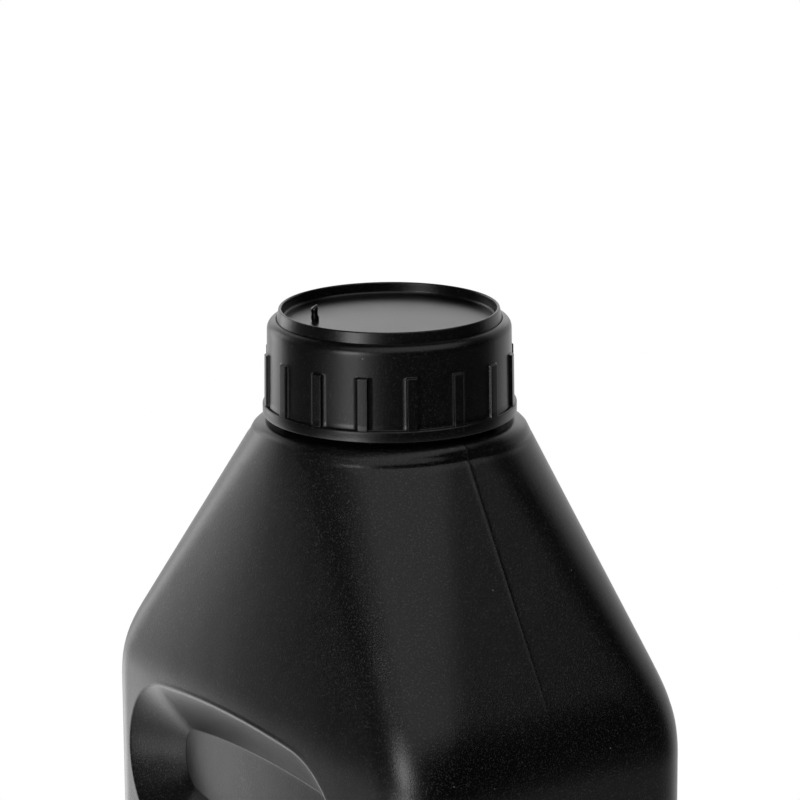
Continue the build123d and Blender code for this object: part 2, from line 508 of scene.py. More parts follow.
@dataclass(frozen=True)
class LinerFoam(Finish):
    """Pale expanded foam: fine closed cells that pit the surface, with cloudy shading."""

    colour: Triple = (0.82, 0.82, 0.79)
    roughness: float = 0.8
    faded: Triple = (0.70, 0.70, 0.67)
    cell_size: float = 0.35 * MM
    cell_depth: float = 0.05 * MM
    cell_share: float = 0.4
    cloud_size: float = 6.0 * MM
    cloud_tones: Span = (0.3, 0.7)
    cloud_share: float = 0.6
    cloud_gloss: float = 0.1

    def dress(self, bench: Bench) -> bpy.types.Node:
        """Sends cells to the bump and, with the clouds, to the colour, and clouds to the roughness.

        Args:
            bench: Bench of the new material.

        Returns:
            The shader's node.
        """
        cells = self.pattern(bench, Pattern.CELLS, self.cell_size)
        cloud = self.pattern(bench, Pattern.CLOUD, self.cloud_size, detail=2.0)
        share = cloud.step(*self.cloud_tones) * self.cloud_share + cells * self.cell_share
        return bench.node("ShaderNodeBsdfPrincipled", {}, {
            "Base Color": bench.colour(share, self.colour, self.faded),
            "Roughness": self.roughness + (cloud - NOISE_MEAN) * self.cloud_gloss,
            "Normal": bench.bump(cells, self.cell_depth),
        })


@dataclass(frozen=True)
class PaintedGlow:
    """Painted pool of light on the floor that reflections see: its direction from the object, half widths and
    added light.

    It starts and ends at given distances from the object.
    """

    azimuth: float
    inner: float
    outer: float
    light: float
    start: float
    reach: float


@dataclass(frozen=True)
class StudioWhite(Finish):
    """Pale floor that takes the shadow near the object and is plain white to the camera away from it.

    Reflections see painted light on it, in place of lamps out of the picture: dim in front and white behind,
    with brighter painted pools.
    """

    colour: Triple = (0.72, 0.72, 0.72)
    roughness: float = 0.5
    back: float = 0.0
    camera_edge: Span = (0.12, 0.26)
    mirror_edge: Span = (0.048, 0.084)
    strength: float = 5.0
    mirrored: float = 0.8
    back_sides: Span = (53.0, 73.0)
    # Painted reflection: distances over which the painted light in front fades for reflections, and the share
    # of it left beyond.
    painted_front_fade: Span = (0.28, 0.52)
    painted_front_kept: float = 0.08
    glow_edge: float = 0.04
    glow_fade: float = 1.7
    # Painted pools of light on the floor, seen only in reflections.
    painted_glows: tuple[PaintedGlow, ...] = ()

    def towards(self, bench: Bench, azimuth: float, inner: float, outer: float) -> Wire:
        """Smooth step of the cosine between a direction on the floor and the point's own direction.

        Args:
            bench: Bench of the material.
            azimuth: The direction, in degrees.
            inner: Angle beside it up to which the step is 1.
            outer: Angle beside it from which the step is 0.

        Returns:
            The step.
        """
        aim = (cos(radians(azimuth)), sin(radians(azimuth)), 0.0)
        unit = bench.node("ShaderNodeVectorMath", {"operation": "NORMALIZE"}, {0: bench.place()}).outputs[0]
        along = bench.wire("ShaderNodeVectorMath", {"operation": "DOT_PRODUCT"}, {0: unit, 1: aim}, "Value")
        return along.step(cos(radians(outer)), cos(radians(inner)))

    def dress(self, bench: Bench) -> bpy.types.Node:
        """Mixes a matt floor with painted light by distance from the object, and tints the light by the ray's
        kind.

        Args:
            bench: Bench of the new material.

        Returns:
            The shader's node.
        """
        distance = bench.wire("ShaderNodeVectorMath", {"operation": "LENGTH"}, {0: bench.place()}, "Value")
        path = bench.node("ShaderNodeLightPath", {}, {}).outputs
        camera, glossy = Wire(bench, path["Is Camera Ray"]), Wire(bench, path["Is Glossy Ray"])
        front = 1.0 - self.towards(bench, self.back, *self.back_sides)
        # Painted reflection: white for reflections, dimmed in front beyond a distance.
        light = self.mirrored * (1.0 - front * distance.step(*self.painted_front_fade) * (1.0 - self.painted_front_kept))
        # Adds the painted pools of light that reflections see on the floor.
        for glow in self.painted_glows:
            begun = distance.step(glow.start - self.glow_edge, glow.start + self.glow_edge)
            within = begun - distance.step(glow.reach, self.glow_fade * glow.reach)
            light = light + glow.light * within * self.towards(bench, glow.azimuth, glow.inner, glow.outer)
        tint = (camera + glossy * light) / self.strength
        pale = {"Color": (*self.colour, 1.0), "Roughness": self.roughness}
        matt = bench.node("ShaderNodeBsdfDiffuse", {}, pale)
        white = bench.node("ShaderNodeEmission", {}, {"Color": tint, "Strength": self.strength})
        share = camera * distance.step(*self.camera_edge) + glossy * distance.step(*self.mirror_edge)
        return bench.node("ShaderNodeMixShader", {}, {0: share, 1: matt.outputs[0], 2: white.outputs[0]})


@dataclass(frozen=True)
class Thread:
    """Screw thread: a ridge along a helix that starts a lift above its root and fades at both ends."""

    lift: float
    turns: float
    pitch: float = 6.0 * MM
    width: float = 2.3 * MM
    rise: float = 0.7 * MM
    fade: float = 0.1
    flank: float = 0.7

    def ridge(self, angle: Array, height: Array, root: float) -> Array:
        """Height of the ridge over a cylinder.

        Each point is measured from the nearest turn of a helix that climbs one pitch a turn. The ridge is a
        smooth step of that distance, and it fades over a part of a turn at both ends.

        Args:
            angle: Angles of the points round the axis.
            height: Heights of the points.
            root: Height of the thread's root.

        Returns:
            The ridge's height at each point.
        """
        start = root + self.lift
        turn = np.mod(angle, 2 * pi) / (2 * pi)
        along = turn + np.round((height - start) / self.pitch - turn)
        across = np.abs(height - start - self.pitch * along) / (self.width / 2)
        ends = ease(along, 0.0, self.fade) * ease(self.turns - along, 0.0, self.fade)
        return self.rise * ease(1.0 - across, 0.0, self.flank) * ends


class Ringed:
    """What the bottle and the cap share: a grid round the axis whose columns stand at given angles."""

    angle: Array

    def placed(self, reach: Array, height: Array) -> Array:
        """Rings of points from distances and heights, one row for each ring."""
        return ringed(self.angle, reach, height)

    def turned(self, *paths: Array) -> Array:
        """Rings of a turned form, from paths of radius and height."""
        path = np.concatenate(paths)
        return self.placed(path[:, :1], path[:, 1:])


@dataclass
class GripPocket:
    """Oval pocket in a bowed face: four tangent arcs, a sloping wall and a floor that is bowed like the face.

    The oval is given in the plane that touches the middle of the face. Where the face falls away from that
    plane, the wall starts lower, and so further in. The wall falls more gently at the ends of the oval than
    along its flanks.
    """

    length: float = 80.0 * MM
    height: float = 36.7 * MM
    end_radius: float = 17.6 * MM
    depth: float = 9.6 * MM
    slope_run: float = 11.4 * MM
    offset: float = -6.6 * MM
    level: float = 111.5 * MM
    floor_depth: float = 7.4 * MM
    flank_run: float = 10.2 * MM
    end_run: float = 11.0 * MM
    rim_radius: float = 1.4 * MM
    floor_radius: float = 0.9 * MM
    edge_rows: int = 7
    wall_rows: int = 6
    floor_rings: tuple[float, ...] = (0.9, 0.75, 0.6, 0.45, 0.3, 0.15)

    def __post_init__(self) -> None:
        """Places the centres of the four arcs."""
        half_length, half_height = self.length / 2, self.height / 2
        self.slope = self.slope_run / self.depth
        self.end_centre = half_length - self.end_radius
        self.flank_radius = (half_length**2 + half_height**2 - 2 * half_length * self.end_radius) / (
            2 * (half_height - self.end_radius))
        self.flank_centre = self.flank_radius - half_height

    def outline(self, direction: Array) -> tuple[Array, Array]:
        """Points of the oval where rays from its middle meet it, and the outward normals there.

        A ray meets the circle of an end if it lies flatter than the point where the arcs join, and that of a
        flank otherwise.

        Args:
            direction: Angles of the rays.

        Returns:
            Two arrays of points by two, across and up from the middle.
        """
        ray = np.stack([np.cos(direction), np.sin(direction)], axis=-1)
        sign = np.where(ray < 0, -1.0, 1.0)
        ray = np.abs(ray)
        joint = atan2(self.flank_centre * self.end_radius, self.end_centre * self.flank_radius)
        on_end = (np.arctan2(ray[:, 1], ray[:, 0]) < joint)[:, None]
        centre = np.where(on_end, (self.end_centre, 0.0), (0.0, -self.flank_centre))
        radius = np.where(on_end, self.end_radius, self.flank_radius)[:, 0]
        reach = far_crossing((ray * centre).sum(-1), (centre**2).sum(-1), radius)
        points = ray * reach[:, None]
        return points * sign, (points - centre) / radius[:, None] * sign

    def section(self, run: Array) -> Array:
        """Way down from the rim to the floor: a line between two arcs that touch it.

        Args:
            run: Inward distance from the rim to the wall's foot, at each point of the rim.

        Returns:
            Rows by points by two: the inward distance from the rim, and the depth below the face there.
        """
        slope = np.arctan2(self.floor_depth, run)
        turn = np.linspace(0.0, 1.0, self.edge_rows)[:, None] * slope
        setback = np.tan(slope / 2)
        bend = np.stack([np.sin(turn) - setback, 1 - np.cos(turn)], axis=-1)
        rim = self.rim_radius * bend
        foot = np.stack([run, np.full_like(run, self.floor_depth)], axis=-1) - self.floor_radius * bend[::-1]
        wall = mix(rim[-1], foot[0], np.linspace(0, 1, self.wall_rows)[1:-1, None, None])
        return np.concatenate([rim, wall, foot])

    def sunk(self, across: Array, up: Array, grow: float, fall: Array) -> Array:
        """Depth of the pocket's cone below the plane of its oval, grown outwards and stopped at its floor.

        The signed distance to the oval is measured from the arc whose sector holds the point, and the depth
        rises with it along the slope. It is negative outside the oval.

        Args:
            across: Distances from the pocket's middle along the face.
            up: Heights above its middle.
            grow: How far the pocket is grown outwards and downwards.
            fall: How far the face, and with it the floor, lies below the plane of the oval.

        Returns:
            The depths.
        """
        across, up = np.abs(across), np.abs(up)
        from_end = np.hypot(across - self.end_centre, up) - self.end_radius
        from_flank = np.hypot(across, up + self.flank_centre) - self.flank_radius
        beside_end = across * self.flank_centre > self.end_centre * (up + self.flank_centre)
        inside = grow - np.where(beside_end, from_end, from_flank)
        return np.minimum(inside / self.slope, self.floor_depth + fall + grow)


@dataclass
class BlownBottle(Ringed):
    """The bottle: one blown shell from its base, over the shoulder, neck and lip and down the inside."""

    finish: Finish
    pocket: GripPocket
    thread: Thread = Thread(lift=4.3 * MM, turns=1.5)
    corner_radius: float = 11.0 * MM
    bow: float = radians(6.0)
    wall: float = 1.0 * MM
    base_wall: float = 1.4 * MM
    side_rows: int = 11
    inner_rows: tuple[int, int, int] = (11, 35, 6)
    shoulder_base: float = 132.0 * MM
    shoulder_blend: float = 8.0 * MM
    face_blend: float = 4.0 * MM
    shoulder_top: float = 182.9 * MM
    shoulder_rows: int = 17
    collar_top: float = 183.2 * MM
    collar_radius: float = 24.9 * MM
    collar_round: float = 1.4 * MM
    collar_crease: float = 0.4 * MM
    collar_rows: int = 14
    crease_drop: float = 2.9 * MM
    crease_depth: float = 0.28 * MM
    crease_width: float = 0.5 * MM
    crease_fade: Span = (0.45, 0.85)
    crease_span: float = 8.0 * MM
    crease_rows: int = 35
    top_width: float = 47.8 * MM
    top_depth: float = 49.7 * MM
    top_corner: float = 22.0 * MM
    foot_radius: float = 4.0 * MM
    foot_width: float = 9.0 * MM
    foot_rows: int = 10
    base_bow: float = 0.02
    base_corner: float = 0.98
    panel_rise: float = 2.0 * MM
    panel_run: float = 3.0 * MM
    panel_edge: float = 0.8 * MM
    panel_bends: tuple[Span, ...] = ((0.0, 0.96), (0.5 * MM, 0.8))
    panel_rows: int = 8
    pole_gap: float = 0.5 * MM
    neck_radius: float = 20.1 * MM
    neck_root: float = 0.8 * MM
    neck_low: float = 0.88 * MM
    neck_high: float = 0.72 * MM
    neck_rows: int = 44
    lip_radius: float = 0.6 * MM
    bore_radius: float = 17.9 * MM
    bore_rows: int = 8
    seam_rise: float = 0.13 * MM
    seam_width: float = 0.25 * MM
    seam_below: float = 0.15
    seam_columns: tuple[float, ...] = (0.5, 1.0, 1.7, 3.0, 5.5, 10.0, 20.0)
    pinch_rise: float = 0.5 * MM
    pinch_width: float = 0.5 * MM
    pinch_length: float = 76.0 * MM
    window_reach: float = 52.0 * MM
    window_low: float = 84.0 * MM
    window_high: float = 140.0 * MM
    window_columns: int = 72
    window_rows: int = 44
    window_rings: int = 14
    window_crowding: float = 1.4
    corner_columns: int = 10
    narrow_columns: int = 6
    rim_passes: int = 3

    def __post_init__(self) -> None:
        """Takes the overall sizes from the frame and lays out the grid's columns."""
        low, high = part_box("bottle")
        self.half_width = (high.x - low.x) / 2
        self.face_middle = (high.y - low.y) / 2
        flat = self.half_width - self.corner_radius
        self.half_depth = self.face_middle - flat * tan(self.bow / 2)
        self.bow_radius = flat / sin(self.bow) + self.corner_radius
        self.mouth = high.z
        self.across = np.linspace(-self.window_reach, self.window_reach, self.window_columns + 1)
        self.angle = self.columns()

    def columns(self) -> Array:
        """Lays out a wide face's window, a corner, a narrow face and a corner, and the same behind.

        The narrow face has its columns closest together at the parting line in its middle.

        Returns:
            The angles of the grid's columns.
        """
        radius = self.corner_radius
        flat = self.half_depth - radius
        face = np.arctan2(-self.half_depth, self.across[:-1])
        end = atan2(-self.half_depth, self.window_reach)
        reach = float(bowed_rectangle(np.array(end), self.half_width, self.half_depth, radius, self.bow))
        start = np.arcsin((reach * cos(end) - self.half_width + radius) / radius)
        turn = np.linspace(start, pi / 2, self.corner_columns + 1)[:-1]
        corner = np.arctan2(-flat - radius * np.cos(turn), self.half_width - radius + radius * np.sin(turn))
        steps = np.array(self.seam_columns) * self.seam_width
        graded = np.concatenate([steps, np.linspace(steps[-1], flat, self.narrow_columns)[1:]])
        narrow = np.arctan2(np.concatenate([-graded[::-1], [0.0], graded]), self.half_width)
        half = np.concatenate([face, corner, narrow, -corner[:0:-1]])
        return np.concatenate([half, half + pi])

    def inward(self, height: Array, blend: float) -> Array:
        """Share of the sides' way in towards the collar: a parabola over the bend, then a line.

        Args:
            height: Heights of the points.
            blend: How far below and above the shoulder's base the bend reaches.

        Returns:
            The shares.
        """
        above = height - self.shoulder_base
        run = self.shoulder_top - self.shoulder_base
        bend = (np.clip(above, -blend, blend) + blend) ** 2 / (4 * blend * run)
        return np.where(above < blend, bend, np.minimum(above / run, 1.0))

    def reach(self, angle: Array, height: Array, inset: float = 0.0) -> Array:
        """Distance from the axis to the side, shoulder or collar, set in by a distance.

        The section is a bowed rectangle whose sizes run in from the body's to the shoulder's top with height.
        The collar's cylinder is joined to it by a smooth maximum. A bell curve of the height cuts a crease
        below it, which fades towards the wide faces.

        Args:
            angle: Angles of the points round the axis.
            height: Heights of the points.
            inset: How far inside the outer skin they lie.

        Returns:
            The distances.
        """
        share = self.inward(height, self.shoulder_blend)
        section = bowed_rectangle(
            angle,
            mix(self.half_width, self.top_width / 2, share) - inset,
            mix(self.half_depth, self.top_depth / 2, self.inward(height, self.face_blend)) - inset,
            mix(self.corner_radius, self.top_corner, share) - inset,
            self.bow,
        )
        if inset:
            return section
        crease = self.crease_depth * bell(height - self.collar_top + self.crease_drop, self.crease_width)
        whole = smooth_max(section, np.full_like(section, self.collar_radius), self.collar_crease)
        return whole - crease * ease(np.abs(np.cos(angle)), *self.crease_fade)

    def seamed(self, reach: Array, rise: Array) -> Array:
        """Distances with the parting line's ridge added: a bell curve over the middle of the narrow faces."""
        return reach + rise * bell(reach * np.sin(self.angle), self.seam_width)

    def walls(self, height: Array, inset: float = 0.0) -> Array:
        """Rings of the side and shoulder, with the parting line on the outside, fainter below the shoulder.

        Args:
            height: Heights of the rings.
            inset: How far inside the outer skin they lie.

        Returns:
            The rings.
        """
        height = height[:, None]
        reach = self.reach(self.angle, height, inset)
        if not inset:
            share = mix(self.seam_below, 1.0, ease(height, self.shoulder_base, self.shoulder_top))
            reach = self.seamed(reach, self.seam_rise * share)
        return self.placed(reach, height)

    def base(self, path: Array) -> Array:
        """Rings of the base: the side's section set in along a path, which its corners follow near the foot.

        Args:
            path: Inset from the side and height of each ring.

        Returns:
            The rings, with the pinch line's ridge across the panel.
        """
        inset, height = path[:, :1], path[:, 1:]
        radius = np.interp(inset, (0.0, self.foot_radius, self.foot_width),
                           (self.corner_radius, self.corner_radius - self.foot_radius, self.corner_radius))
        radius = np.minimum(radius, self.base_corner * (self.half_depth - inset))
        bow = self.bow * np.clip(1 - inset / self.foot_width, self.base_bow, 1.0)
        reach = bowed_rectangle(self.angle, self.half_width - inset, self.half_depth - inset, radius, bow)
        rings = self.placed(reach, height)
        ridge = self.pinch_rise * bell(rings[..., 1], self.pinch_width)
        inside = ease(self.pinch_length / 2 - np.abs(rings[..., 0]), 0.0, self.panel_rise)
        rings[..., 2] -= ridge * inside * (inset > self.foot_width)
        return rings

    def outer_base(self) -> Array:
        """Carries the base from near the middle of its panel, down the panel's slope and round the foot.

        Returns:
            The rings.
        """
        rise, foot = self.panel_rise, self.foot_width
        edge = foot + self.panel_run
        middle = self.half_depth - self.pole_gap
        panel = np.linspace((middle, rise), (edge + self.panel_edge, rise), self.panel_rows)
        slope = [(edge - run, share * rise) for run, share in self.panel_bends]
        slope += [(foot + run, (1 - share) * rise) for run, share in reversed(self.panel_bends)]
        slope.append((foot - self.panel_edge, 0.0))
        turn = np.radians(np.linspace(0, 90, self.foot_rows))
        bend = self.foot_radius * np.stack([1 - np.sin(turn), 1 - np.cos(turn)], axis=-1)
        return self.base(np.concatenate([panel, slope, bend]))

    def neck(self) -> Array:
        """Carries the skin round the collar's edge, up the threaded neck, round the lip and down the bore.

        The collar's edge is a quarter circle that starts from the shoulder's own section and ends round.

        Returns:
            The rings.
        """
        root, lip = self.neck_root, self.lip_radius
        turn = np.radians(np.linspace(0, 90, self.collar_rows))[1:, None]
        start = self.reach(self.angle, np.array(self.collar_top - self.collar_round))
        reach = mix(start, self.collar_radius, np.sin(turn)) - self.collar_round * (1 - np.cos(turn))
        collar = self.placed(self.seamed(reach, self.seam_rise * np.cos(turn)),
                             self.collar_top - self.collar_round * (1 - np.sin(turn)))
        foot = arc((self.neck_radius + root, self.collar_top + root), root, -90, -180)
        low, high = self.collar_top + self.neck_low, self.mouth - self.neck_high
        level = np.linspace(low, high, self.neck_rows)[:, None]
        ridge = self.thread.ridge(self.angle, level, self.collar_top)
        outer = arc((self.neck_radius - lip, self.mouth - lip), lip, 0, 90)
        inner = arc((self.bore_radius + lip, self.mouth - lip), lip, 90, 180)
        bore = np.linspace((self.bore_radius, self.mouth - 2 * lip),
                           (self.bore_radius, self.shoulder_top - self.wall), self.bore_rows)
        return np.concatenate([collar, self.turned(foot), self.placed(self.neck_radius + ridge, level),
                               self.turned(outer, inner, bore)])

    def inside(self) -> Array:
        """Carries the skin down the inside, one wall in, past the pockets' backs to the base's middle.

        Returns:
            The rings.
        """
        ends = self.window_high, self.window_low, self.base_wall + self.foot_radius - self.wall
        height = stepped(self.shoulder_top - self.wall, *zip(ends, self.inner_rows))
        sides = self.walls(height, self.wall)
        across, along, up = np.moveaxis(sides, -1, 0)
        pocket = self.pocket
        depth = pocket.sunk(across - pocket.offset, up - pocket.level, self.wall, self.face_fall(across))
        on_face = np.abs(along) > self.half_depth / 2
        limit = np.where(on_face, self.face_middle - depth, self.face_middle)
        sides[..., 1] = np.sign(along) * np.minimum(np.abs(along), limit)
        turn = np.radians(np.linspace(90, 0, EDGE_ROWS))[1:]
        bend = (self.foot_radius - self.wall) * np.stack([1 - np.sin(turn), 1 - np.cos(turn)], axis=-1)
        start, top = self.foot_width - self.base_wall, self.panel_rise + self.base_wall
        panel = np.linspace((start + self.panel_run, top), (self.half_depth - self.pole_gap, top), EDGE_ROWS)
        path = np.concatenate([bend + (self.wall, self.base_wall), [(start, self.base_wall)], panel])
        return np.concatenate([sides, self.base(path)])

    def face_fall(self, across: Array) -> Array:
        """How far a wide face lies below the plane that touches its middle: the large circle of the bow."""
        return self.bow_radius - np.sqrt(np.maximum(self.bow_radius**2 - across**2, 0.0))

    def pocket_rings(self, side: float, rows: Array) -> tuple[Array, Array]:
        """Rings of a grip pocket, from its window's edge over the rim and down to the middle of its floor.

        Outside the rim the rings run over the face from the window's edge to the rim. The rim is found by
        moving the oval in, along its normals, by the slope times the fall of the face there, in a few passes.
        On the wall the rings run in from the rim along the same normals, and on the floor they shrink to its
        middle. Every depth is measured from the bowed face.

        Args:
            side: -1 for the face in front, 1 for the one behind.
            rows: Heights of the window's rows.

        Returns:
            The rings, and the pole at the floor's middle.
        """
        pocket, reach = self.pocket, self.window_reach
        middle = np.array([-side * pocket.offset, pocket.level])
        edge = np.concatenate([
            np.stack([self.across[:-1], np.full(self.window_columns, rows[0])], -1),
            np.stack([np.full(self.window_rows, reach), rows[:-1]], -1),
            np.stack([self.across[:0:-1], np.full(self.window_columns, rows[-1])], -1),
            np.stack([np.full(self.window_rows, -reach), rows[:0:-1]], -1),
        ])
        points, normals = pocket.outline(np.arctan2(edge[:, 1] - middle[1], edge[:, 0] - middle[0]))
        points = points + middle
        rim = points
        for _ in range(self.rim_passes):
            rim = points - normals * pocket.slope * self.face_fall(rim[:, :1])
        section = pocket.section(mix(pocket.flank_run, pocket.end_run, normals[:, 0] ** 2))
        wall = rim - normals * section[..., :1]
        floor = middle + (wall[-1] - middle) * np.array(pocket.floor_rings)[:, None, None]
        place = np.concatenate([wall, floor])
        depth = np.concatenate([section[..., 1], np.full(floor.shape[:2], pocket.floor_depth)])
        level = self.face_middle - self.face_fall(place[..., 0]) - depth
        sunken = np.stack([-side * place[..., 0], side * level, place[..., 1]], axis=-1)
        stretch = self.half_depth / (self.face_middle - self.face_fall(wall[0, :, 0]))
        start = wall[0] * np.stack([stretch, np.ones(len(rim))], -1)
        spread = np.linspace(1, 0, self.window_rings)[1:-1, None, None] ** self.window_crowding
        outside = mix(start, edge, spread)
        angle = side * pi / 2 + np.arctan(outside[..., 0] / self.half_depth)
        over = ringed(angle, self.reach(angle, outside[..., 1]), outside[..., 1])
        bottom = self.face_middle - self.face_fall(middle[0]) - pocket.floor_depth
        pole = np.array([-side * middle[0], side * bottom, middle[1]])
        return np.concatenate([over, sunken]), pole

    def build(self) -> bpy.types.Object:
        """Builds the shell, lets the two pockets into their windows, and dresses and seats it.

        Returns:
            The piece.
        """
        base = self.outer_base()
        height = stepped(
            self.foot_radius,
            (self.window_low, self.side_rows),
            (self.window_high, self.window_rows),
            (self.collar_top - self.crease_span, self.shoulder_rows),
            (self.collar_top - self.collar_round, self.crease_rows),
        )[1:]
        first = self.side_rows - 1
        window = height[first:first + self.window_rows + 1]
        rings = np.concatenate([base, self.walls(height), self.neck(), self.inside()])
        top = self.panel_rise + self.base_wall
        shell = Shell(rings, (0, 0, self.panel_rise - self.pinch_rise), (0, 0, top))
        low = len(base) + first
        half = len(self.angle) // 2
        for side, left in ((-1.0, 0), (1.0, half)):
            edge = shell.window((low, low + self.window_rows), (left, left + self.window_columns))
            shell.patch(edge, *self.pocket_rings(side, window))
        piece = shell.piece("bottle_skin")
        piece.data.materials.append(self.finish.material())
        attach(piece, "bottle_body")
        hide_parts("bottle")
        return piece


@dataclass
class ScrewCap(Ringed):
    """The cap: one moulding with a recessed top in a raised rim, a ribbed skirt, a band and a thread."""

    finish: Finish
    thread: Thread = Thread(lift=0.1 * MM, turns=1.9)
    thread_first: float = 2.1 * MM
    thread_fade: float = 0.6 * MM
    height: float = 20.3 * MM
    skirt_radius: float = 23.1 * MM
    skirt_flare: float = 0.2 * MM
    skirt_wall: float = 1.9 * MM
    skirt_foot: float = 0.12 * MM
    skirt_rows: tuple[int, int, int] = (9, 10, 4)
    shoulder_radius: float = 1.8 * MM
    shoulder_drop: float = 3.9 * MM
    shoulder_rows: int = 12
    rim_step: float = 2.2 * MM
    rim_wall: float = 0.6 * MM
    rim_foot: float = 0.35 * MM
    rim_rows: int = 13
    recess: float = 2.2 * MM
    recess_radius: float = 0.6 * MM
    recess_edge: float = 1.0 * MM
    plate: float = 1.5 * MM
    plate_rows: int = 8
    pole_gap: float = 1.5 * MM
    band_height: float = 2.3 * MM
    band_step: float = 1.0 * MM
    band_edge: float = 0.4 * MM
    mouth_edge: float = 0.5 * MM
    inner_edge: float = 0.4 * MM
    inner_rows: int = 46
    margin: float = 0.1 * MM
    rib_count: int = 16
    rib_turn: float = -1.5
    rib_width: float = 2.0 * MM
    rib_flank: float = 0.1 * MM
    rib_columns: tuple[float, ...] = (-2.0, -1.0, -0.5, 0.0, 0.5, 1.0)
    rib_gap_columns: int = 5
    rib_rise: float = 0.6 * MM
    rib_drop: float = 7.9 * MM
    rib_end: float = 0.4 * MM
    rib_below: float = 0.48 * MM
    rib_above: float = 0.2 * MM
    gate_radius: float = 0.7 * MM
    gate_height: float = 2.7 * MM
    gate_distance: float = 14.0 * MM
    gate_turn: float = -117.0
    gate_columns: int = 20
    gate_taper: Triple = (1.0, 0.9, 0.6)
    gate_waves: Span = (0.08, 0.14)
    gate_slant: float = 0.3 * MM
    gate_torn: float = 0.6 * MM
    gate_tip: float = 0.25 * MM
    gate_lean: float = 0.35 * MM

    def __post_init__(self) -> None:
        """Takes the cap's level from the frame and lays out the columns, closest at the ribs' edges."""
        self.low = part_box("screw_cap")[0].z
        self.top = self.low + self.height
        self.plate_top = self.top - self.recess
        self.plate_under = self.plate_top - self.plate
        self.inner = self.skirt_radius - self.skirt_wall
        self.band_top = self.low + self.band_height
        self.period = 2 * pi / self.rib_count
        edge = self.rib_width / 2 / self.skirt_radius
        flank = self.rib_flank / self.skirt_radius
        beside = edge + flank * np.array(self.rib_columns)
        gap = np.linspace(edge + flank, self.period / 2, self.rib_gap_columns)[1:]
        half = np.concatenate([[beside[0] / 2], beside, gap])
        one = np.concatenate([-half[-2::-1], [0.0], half])
        centres = radians(self.rib_turn) + self.period * np.arange(self.rib_count)
        self.angle = (centres[:, None] + one).ravel()

    def ribs(self, height: Array) -> Array:
        """How far the ribs stand out: a smooth step across each flank, and one at the upper end.

        Args:
            height: Heights of the rings.

        Returns:
            The distances, ring by ring.
        """
        offset = np.mod(self.angle - radians(self.rib_turn) + self.period / 2, self.period) - self.period / 2
        across = np.abs(offset) * self.skirt_radius
        flank = ease(self.rib_width / 2 + self.rib_flank - across, 0.0, 2 * self.rib_flank)
        return self.rib_rise * flank * ease(self.top - self.rib_drop - height, 0.0, self.rib_end)

    def inside(self) -> Array:
        """Carries the skin from near the middle of the plate's underside down the threaded wall to the mouth.

        Returns:
            The rings.
        """
        inner, under, edge, lip = self.inner, self.plate_under, self.inner_edge, self.mouth_edge
        plate = np.linspace((self.pole_gap, under), (inner - edge - self.margin, under), EDGE_ROWS)
        corner = arc((inner - edge, under - edge), edge, 90, 0, EDGE_ROWS - 1)
        level = np.linspace(under - 2 * edge, self.low + lip, self.inner_rows)[:, None]
        begun = ease(level - self.low - self.thread_first, -self.thread_fade, self.thread_fade)
        ridge = self.thread.ridge(self.angle, level, self.low) * begun
        mouth = arc((inner + lip, self.low + lip), lip, 180, 270)[1:]
        wall = self.placed(inner - ridge, level)
        return np.concatenate([self.turned(plate, corner), wall, self.turned(mouth)])

    def outside(self) -> Array:
        """Carries the skin up the band, over the ribbed skirt and round the shoulder.

        Returns:
            The rings.
        """
        band_radius = self.skirt_radius + self.band_step
        edge = self.band_edge
        foot = arc((band_radius - edge, self.low + edge), edge, -90, 0)
        lip = arc((band_radius - edge, self.band_top - edge), edge, 0, 90)
        shoulder_level = self.top - self.shoulder_drop
        rib_top = self.top - self.rib_drop
        ends = rib_top - self.rib_below, rib_top + self.rib_above, shoulder_level
        level = stepped(self.band_top + self.skirt_foot, *zip(ends, self.skirt_rows))[:, None]
        taper = self.skirt_flare * (shoulder_level - level) / (shoulder_level - self.band_top)
        skirt = self.skirt_radius + taper + self.ribs(level)
        ledge = mix(lip[-1, 0], skirt[0] + self.margin, np.array([0.5, 1.0])[:, None])
        bend = self.shoulder_radius
        shoulder = arc((self.skirt_radius - bend, shoulder_level), bend, 0, 90, self.shoulder_rows)[1:]
        return np.concatenate([self.turned(foot, lip), self.placed(ledge, self.band_top),
                               self.placed(skirt, level), self.turned(shoulder)])

    def crown(self) -> Array:
        """Carries the skin up the rim from the groove at its foot, over its edge and down into the recess.

        Returns:
            The rings, to near the recess's middle.
        """
        rim, level = self.skirt_radius - self.rim_step, self.plate_top
        bend, half = self.recess_radius, self.rim_wall / 2
        foot = self.top - self.shoulder_drop + self.shoulder_radius + self.margin
        bore = rim - self.rim_wall - bend
        groove = arc((rim + 2 * self.rim_foot, foot), self.rim_foot, -90, -180, EDGE_ROWS - 1)
        edge = arc((rim - half, self.top - half), half, 0, 180, self.rim_rows)
        corner = arc((bore, level + bend), bend, 0, -90, EDGE_ROWS + 1)
        floor = np.linspace((bore - self.recess_edge, level), (self.pole_gap, level), self.plate_rows)
        return self.turned(groove, edge, corner, floor)

